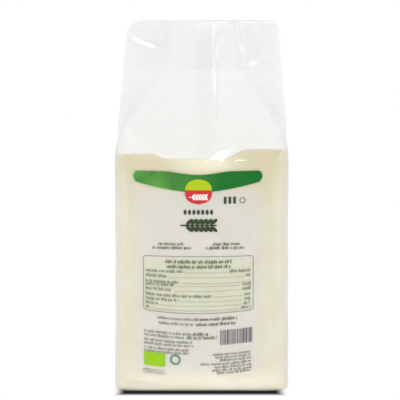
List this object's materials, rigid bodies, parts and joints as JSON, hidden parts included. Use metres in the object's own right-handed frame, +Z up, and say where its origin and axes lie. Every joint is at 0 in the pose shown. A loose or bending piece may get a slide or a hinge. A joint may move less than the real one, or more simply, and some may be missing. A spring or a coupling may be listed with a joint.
{
  "type": "bag of flour",
  "caption": "Standing bag of white flour in clear film: squared flour block below, empty gusseted film tapering to a folded-over top above, printed front panel.",
  "frame": {"origin": "middle of the base, on the surface that the bag stands on", "axes": "+Z up to the folded top, -Y out of the printed front, +X to the right seen from the front"},
  "size_m": [0.117, 0.08, 0.247],
  "materials": {
    "filled_film": "satin",
    "clear_film": "gloss",
    "flour": "matte",
    "green_ink": "satin",
    "lime_ink": "satin",
    "red_ink": "satin",
    "dark_ink": "satin",
    "white_ink": "satin"
  },
  "bodies": {
    "root": {"flour_bag": "filled_film"}
  },
  "joints": []
}
